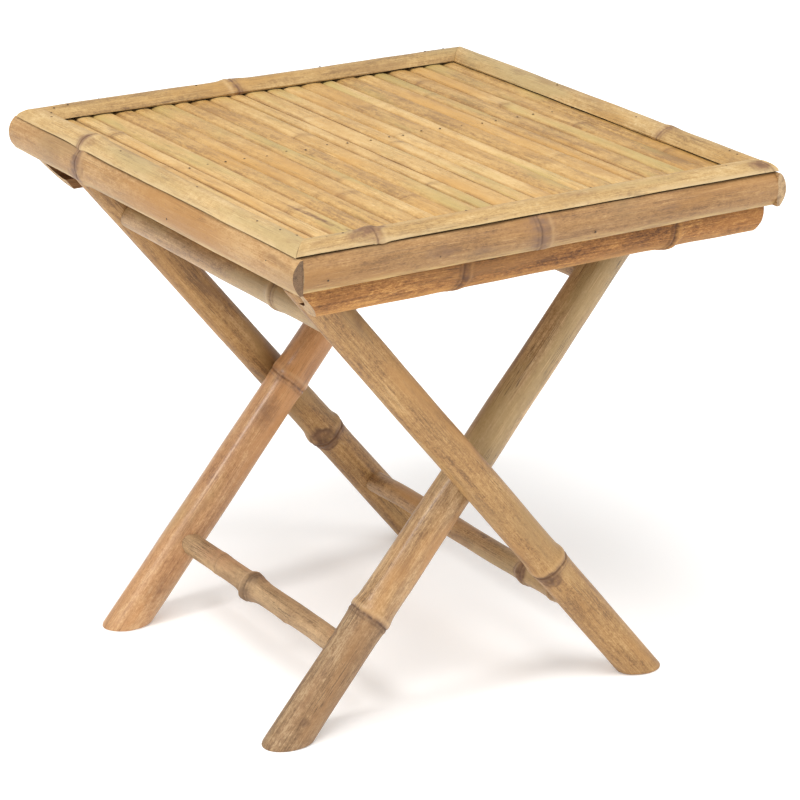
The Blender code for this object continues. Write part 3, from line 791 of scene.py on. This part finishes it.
def grow_cover(number, edge, nodes, knots, tone):
    """A split culm standing on edge along the side of the tray, skin outwards."""
    low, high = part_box("cover_" + edge)
    height = high.z - low.z
    runs_through = edge in ("left", "right")
    reach = (high.y - low.y if runs_through else high.x - low.x) / 2
    outline = []
    for down, bulge in arch(height, COVER_BULGE + 0.001, RIM_STEPS, -0.001):
        edge_share = max(0.0, 1 - (height - down) / 0.006)
        outline.append((-bulge, -GAP - down, SKIN, edge_share))
    outline[-1] = (*outline[-1][:2], SAWN, 1.0)
    outline.append((COVER_INNER, -GAP - height, SAWN, 0.0))
    outline.append((COVER_INNER, -GAP, SAWN, 0.0))
    past = HALF - reach
    place = edge_frame(edge) @ Matrix.Translation((past, 0, 0))
    piece = Growth(
        "cover_" + edge + "_split_culm", place, 2 * reach, outline,
        [(distance - past, *rest) for distance, *rest in nodes], seed=30 + number,
        waves=0.0006, coarse=0.006, centre=(0.012, -0.015), tilt=0.002,
        knots=[(distance - past, *rest) for distance, *rest in knots])
    end = GREY_END if edge == "left" else END_GRAIN
    return piece.build("tray", ["cover_" + edge], [COVER_SKIN, SAWN_WOOD, end],
                       tone)


# ---- tray ----------------------------------------------------------------------------------
# Knots and nodes that catch the eye on single slats, as distances from the slats' front end.
SLAT_NODES = {
    3: ((0.352, 0.0011, 0.7, 0.0050),),
    5: ((0.020, 0.0008, 0.8, 0.0050),),
    22: ((0.190, 0.0005, 0.5, 0.0040),),
}
SLAT_KNOTS = {
    4: ((0.075, 1.57, 0.030, 0.0022, -0.0004, 0.9), (0.030, 1.45, 0.016, 0.0018, -0.0004, 0.8),
        (0.110, 1.62, 0.020, 0.0014, -0.0003, 0.7)),
    3: ((0.365, 1.50, 0.010, 0.0040, 0.0002, 0.35),),
}


SLAT_FLAT = 0.80            # share of a slat's half width before its borders round off
SLAT_ROUND_OFF = 0.0011


def grow_slat(number):
    """A split culm across the tray, its skin upwards and its underside sawn flat."""
    name = f"slat_{number:02d}"
    low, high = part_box(name)
    rng = random.Random(500 + number)
    width = high.x - low.x
    top = high.z - low.z
    length = high.y - low.y
    steps = 12
    crown = rng.uniform(0.0007, 0.0015)
    lean = rng.uniform(-0.0005, 0.0005)
    lift = rng.uniform(-0.0007, -0.0001) - abs(lean) / 2
    outline = [(0.0, 0.0, SAWN, 0.0), (width, 0.0, SAWN, 0.0)]
    inset = rng.uniform(0.0001, 0.0005)
    for i in range(steps + 1):
        share = 1 - i / steps
        side = abs(2 * share - 1)
        border = max(0.0, (side - SLAT_FLAT) / (1 - SLAT_FLAT))
        round_off = SLAT_ROUND_OFF * border ** 2
        z = top + lift - crown * side ** 2 - round_off + lean * (2 * share - 1)
        slot = SKIN if i < steps else SAWN
        y = inset + (width - 2 * inset) * share
        # border also darkens the long edges with the slats' edge colour, painted shade of the
        # gaps between them.
        outline.append((y, z, slot, border))
    nodes = list(SLAT_NODES.get(number, ()))
    if not nodes:
        spot = rng.uniform(0.05, 0.34)
        while spot < length - 0.04:
            nodes.append((spot, rng.uniform(0.0001, 0.0004), rng.uniform(0.10, 0.45),
                          rng.uniform(0.003, 0.007)))
            spot += rng.uniform(0.24, 0.40)
    # own x runs from the front of the table to its back, and own y along its X
    place = Matrix(((0, 1, 0, low.x), (1, 0, 0, low.y), (0, 0, 1, low.z), (0, 0, 0, 1)))
    piece = Growth(
        name + "_split_culm", place, length, outline, nodes, seed=40 + number,
        waves=0.0004, coarse=0.010, centre=(width / 2, -0.03), tilt=0.001,
        knots=SLAT_KNOTS.get(number, ()), wander=0.0003)
    return piece.build("tray", [name], [SLAT_SKIN, SAWN_WOOD, END_GRAIN],
                       rng.uniform(-1, 1))


def half_culm(radius, wall, overshoot):
    """A split culm from its end: skin towards +z, sawn face at -overshoot."""
    inner = radius - wall
    outer_dip = math.asin(overshoot / radius)
    inner_dip = math.asin(overshoot / inner)
    outer_steps, inner_steps = 26, 14
    outline = []
    for i in range(outer_steps + 1):
        turn = -outer_dip + (math.pi + 2 * outer_dip) * i / outer_steps
        slot = SKIN if i < outer_steps else SAWN
        low_edge = max(0.0, math.cos(turn) - 0.55) / 0.45
        outline.append((radius * math.cos(turn), radius * math.sin(turn), slot, low_edge))
    for i in range(inner_steps + 1):
        turn = math.pi + inner_dip - (math.pi + 2 * inner_dip) * i / inner_steps
        outline.append((inner * math.cos(turn), inner * math.sin(turn), SAWN, 0.0))
    return outline


RAIL_RADIUS = 0.0243
RAIL_WALL = 0.009
RAIL_AXIS_Z = -0.0327
RAIL_AXIS_IN = 0.034
RAIL_FACE_IN = 0.037
RAIL_TAPER = 0.975
# the plane that the rails' left ends are sawn off at
RAIL_CUT = (Vector((-0.1904, 0, RIM_Z - 0.0533)), Vector((-0.766, 0, -0.643)))


def grow_rail(number, edge):
    """A split culm on edge, skin outwards, with its left end sawn back underneath."""
    face = -1 if edge == "front" else 1
    low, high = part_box("rail_" + edge)
    axis_y = face * (HALF - RAIL_AXIS_IN)
    outline = half_culm(RAIL_RADIUS, RAIL_WALL, RAIL_FACE_IN - RAIL_AXIS_IN)
    # own y points down, own z out of the tray
    place = Matrix(((1, 0, 0, low.x), (0, 0, face, axis_y), (0, -1, 0, RIM_Z + RAIL_AXIS_Z),
                    (0, 0, 0, 1)))
    nodes = [(0.144, 0.0012, 0.7, 0.006), (0.341, 0.0022, 0.9, 0.003)]
    knots = [(0.149, 1.1, 0.008, 0.008, 0.0008, 0.45)]
    piece = Growth(
        "rail_" + edge + "_split_culm", place, high.x - low.x, outline, nodes,
        seed=70 + number, waves=0.0009, coarse=0.005, tilt=0.0012, knots=knots,
        trims=[RAIL_CUT], scale=radius_scale(1, RAIL_TAPER))
    return piece.build("tray", ["rail_" + edge], [RAIL_SKIN, PITH, END_GRAIN],
                       0.0)


def grow_batten():
    """The split culm under the middle of the slats, skin downwards."""
    low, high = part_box("batten_middle")
    radius = (high.y - low.y) / 2
    overshoot = (high.z - low.z) - radius
    outline = half_culm(radius, RAIL_WALL, overshoot)
    axis = Vector((low.x, (low.y + high.y) / 2, low.z + radius))
    place = Matrix(((1, 0, 0, axis.x), (0, 1, 0, axis.y), (0, 0, -1, axis.z), (0, 0, 0, 1)))
    piece = Growth(
        "batten_middle_split_culm", place, high.x - low.x, outline,
        [(0.115, 0.0008, 0.6, 0.004), (0.330, 0.0008, 0.6, 0.004)], seed=80, waves=0.0006,
        coarse=0.008)
    return piece.build("tray", ["batten_middle"], [RAIL_SKIN, PITH, END_GRAIN],
                       0.2)


# ---- nails ---------------------------------------------------------------------------------
NAIL_RADIUS = 0.00095
NAIL_FLATNESS = 0.32
NAILED_LIP = 0.0015
CAP_NAILS = (-0.188, -0.176, -0.062, 0.055, 0.150, 0.176, 0.190)
COVER_NAILS = (-0.196, -0.100, 0.040, 0.186)


def cap_height(inset):
    """How high a cap's skin is over the slats, inset from its outer edge."""
    crown = cap_crown(NAILED_LIP)
    for (y0, z0), (y1, z1) in zip(crown, crown[1:]):
        if y0 <= inset <= y1:
            return z0 + (z1 - z0) * (inset - y0) / (y1 - y0)
    return CAP_RISE


def nail_spots():
    """(point, outward direction) for each nail head that shows on the tray."""
    rng = random.Random(7)
    spots = []
    up = Vector((0, 0, 1))
    for number in range(2, 24):
        low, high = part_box(f"slat_{number:02d}")
        x = (low.x + high.x) / 2 + rng.uniform(-0.003, 0.003)
        y = 0.021 - 0.022 * x + rng.uniform(-0.003, 0.003)
        spots.append((Vector((x, y, high.z - 0.0003)), up))
    for edge, turn in TURNS.items():
        rotate = Matrix.Rotation(math.radians(turn), 4, "Z")
        for along in CAP_NAILS:
            inset = 0.014 + rng.uniform(-0.004, 0.004)
            along += rng.uniform(-0.005, 0.005)
            point = Vector((along, -HALF + inset, RIM_Z + cap_height(inset)))
            spots.append((rotate @ point, rotate.to_3x3() @ up))
        for along in COVER_NAILS:
            down = 0.015 + rng.uniform(-0.006, 0.006)
            point = Vector((along, -HALF - COVER_BULGE + 0.0004, RIM_Z - down))
            spots.append((rotate @ point, rotate.to_3x3() @ Vector((0, -1, 0))))
    return spots


def place_nails():
    """All the nail heads, as one piece of flattened balls."""
    bm = bmesh.new()
    squash = Matrix.Diagonal((1, 1, NAIL_FLATNESS, 1))
    for point, outward in nail_spots():
        turn = outward.to_track_quat("Z", "Y").to_matrix().to_4x4()
        made = bmesh.ops.create_uvsphere(bm, u_segments=10, v_segments=6, radius=NAIL_RADIUS)
        bmesh.ops.transform(bm, verts=made["verts"],
                            matrix=Matrix.Translation(point) @ turn @ squash)
    for face in bm.faces:
        face.smooth = True
    return finish_piece("nail_heads", bm, "tray", [], [NAIL])


# ---- assembly ------------------------------------------------------------------------------
for number, leg in enumerate(LEGS):
    grow_leg(number, leg)
for number, bar in enumerate(BARS):
    grow_bar(number, bar)
grow_cap(0, "front", [(0.067, 0.0012, 0.8, 0.0070), (0.433, 0.0004, 0.5, 0.0030)],
         [(0.066, 1.65, 0.012, 0.007, 0.0012, 1.0), (0.077, 1.50, 0.006, 0.004, -0.0006, 1.0),
          (0.054, 1.95, 0.010, 0.004, 0.0005, 0.6), (0.428, 2.0, 0.009, 0.005, 0.0, 1.0),
          (0.250, 1.8, 0.020, 0.003, 0.0, 0.3)], -0.1)
grow_cap(1, "right", [(0.120, 0.0010, 0.8, 0.0050)], [(0.330, 1.4, 0.010, 0.004, 0.0, 0.4)], 0.1)
grow_cap(2, "back", [(0.244, 0.0014, 0.9, 0.0060)], [(0.238, 2.0, 0.008, 0.006, 0.0008, 0.6)],
         -0.3)
grow_cap(3, "left", [(0.107, 0.0014, 0.9, 0.0055)], [(0.112, 2.0, 0.012, 0.005, 0.0008, 0.5)],
         0.5)
grow_cover(0, "front", [(0.210, 0.0008, 1.0, 0.0100)],
           [(0.120, 3.0, 0.016, 0.004, 0.0, 0.55), (0.160, 3.3, 0.012, 0.003, 0.0, 0.4),
            (0.330, 2.9, 0.010, 0.003, 0.0, 0.3)], -0.1)
grow_cover(1, "right", [(0.160, 0.0010, 0.8, 0.0050)], [], 0.0)
grow_cover(2, "back", [(0.310, 0.0010, 0.9, 0.0050)], [], -0.2)
grow_cover(3, "left", [(0.114, 0.0014, 1.0, 0.0075)],
           [(0.116, 2.9, 0.010, 0.009, 0.0008, 0.6), (0.106, 3.6, 0.008, 0.006, 0.0004, 0.5)],
           0.6)
for number in range(1, 25):
    grow_slat(number)
grow_rail(0, "front")
grow_rail(1, "back")
grow_batten()
place_nails()

# the CAD nodes that stay in sight: pins, dowels, the cleat and the stop
for name, node in frame["nodes"].items():
    if node.hide_render:
        continue
    for slot in node.material_slots:
        slot.material = PITH if name.startswith(("cleat", "leg_stop")) else SAWN_WOOD
    if not node.data.materials:
        node.data.materials.append(SAWN_WOOD)


# ---- stage, light and camera ---------------------------------------------------------------
TABLE_MIDDLE = Vector((0, 0, 0.25))
CAMERA_PLACE = (-1.3207, -2.0265, 1.1122)
CAMERA_TURN, CAMERA_TILT, CAMERA_ROLL = (math.radians(a) for a in (-33.385, 20.427, -0.902))
CAMERA_LENS = 141.3         # millimetres, on a sensor 36 wide


def add_floor():
    """A plain pale floor, far wider than the table."""
    bm = bmesh.new()
    bmesh.ops.create_grid(bm, x_segments=2, y_segments=2, size=12)
    mesh = bpy.data.meshes.new("floor")
    bm.to_mesh(mesh)
    bm.free()
    mesh.materials.append(floor_paper())
    floor = bpy.data.objects.new("floor", mesh)
    floor.location.z = -0.0002
    bpy.context.scene.collection.objects.link(floor)


def add_area(name, place, size, power):
    """A round soft light, aimed at the middle of the table."""
    light = bpy.data.lights.new(name, "AREA")
    light.shape = "DISK"
    light.size = size
    light.energy = power
    lamp = bpy.data.objects.new(name, light)
    lamp.location = place
    lamp.rotation_euler = (TABLE_MIDDLE - Vector(place)).to_track_quat("-Z", "Y").to_euler()
    bpy.context.scene.collection.objects.link(lamp)


def add_camera():
    """A long lens, looking down on the corner between the left and front edges."""
    turn, tilt, roll = CAMERA_TURN, CAMERA_TILT, CAMERA_ROLL
    back = Vector((math.sin(turn) * math.cos(tilt), -math.cos(turn) * math.cos(tilt),
                   math.sin(tilt)))
    right = (-back).cross(Vector((0, 0, 1))).normalized()
    down = (-back).cross(right)
    level, drop = right.copy(), down.copy()
    right = math.cos(roll) * level + math.sin(roll) * drop
    down = -math.sin(roll) * level + math.cos(roll) * drop
    axes = Matrix((right, -down, back)).transposed().to_4x4()
    camera = bpy.data.cameras.new("camera")
    camera.lens = CAMERA_LENS
    camera.sensor_width = 36
    view = bpy.data.objects.new("camera", camera)
    view.matrix_world = Matrix.Translation(CAMERA_PLACE) @ axes
    bpy.context.scene.collection.objects.link(view)
    bpy.context.scene.camera = view


def add_world():
    """Even, faintly warm light from all round."""
    world = bpy.data.worlds.new("studio")
    world.use_nodes = True
    world.node_tree.nodes["Background"].inputs[0].default_value = (1, 0.995, 0.985, 1)
    world.node_tree.nodes["Background"].inputs[1].default_value = 0.70
    bpy.context.scene.world = world
    bpy.context.scene.view_settings.view_transform = "Standard"


add_floor()
add_world()
add_area("key", (-0.7, -0.9, 2.7), 1.8, 50)
add_area("side", (-1.9, -0.2, 2.05), 0.55, 21)
add_area("fill", (1.6, -2.0, 1.5), 1.2, 14)
add_camera()
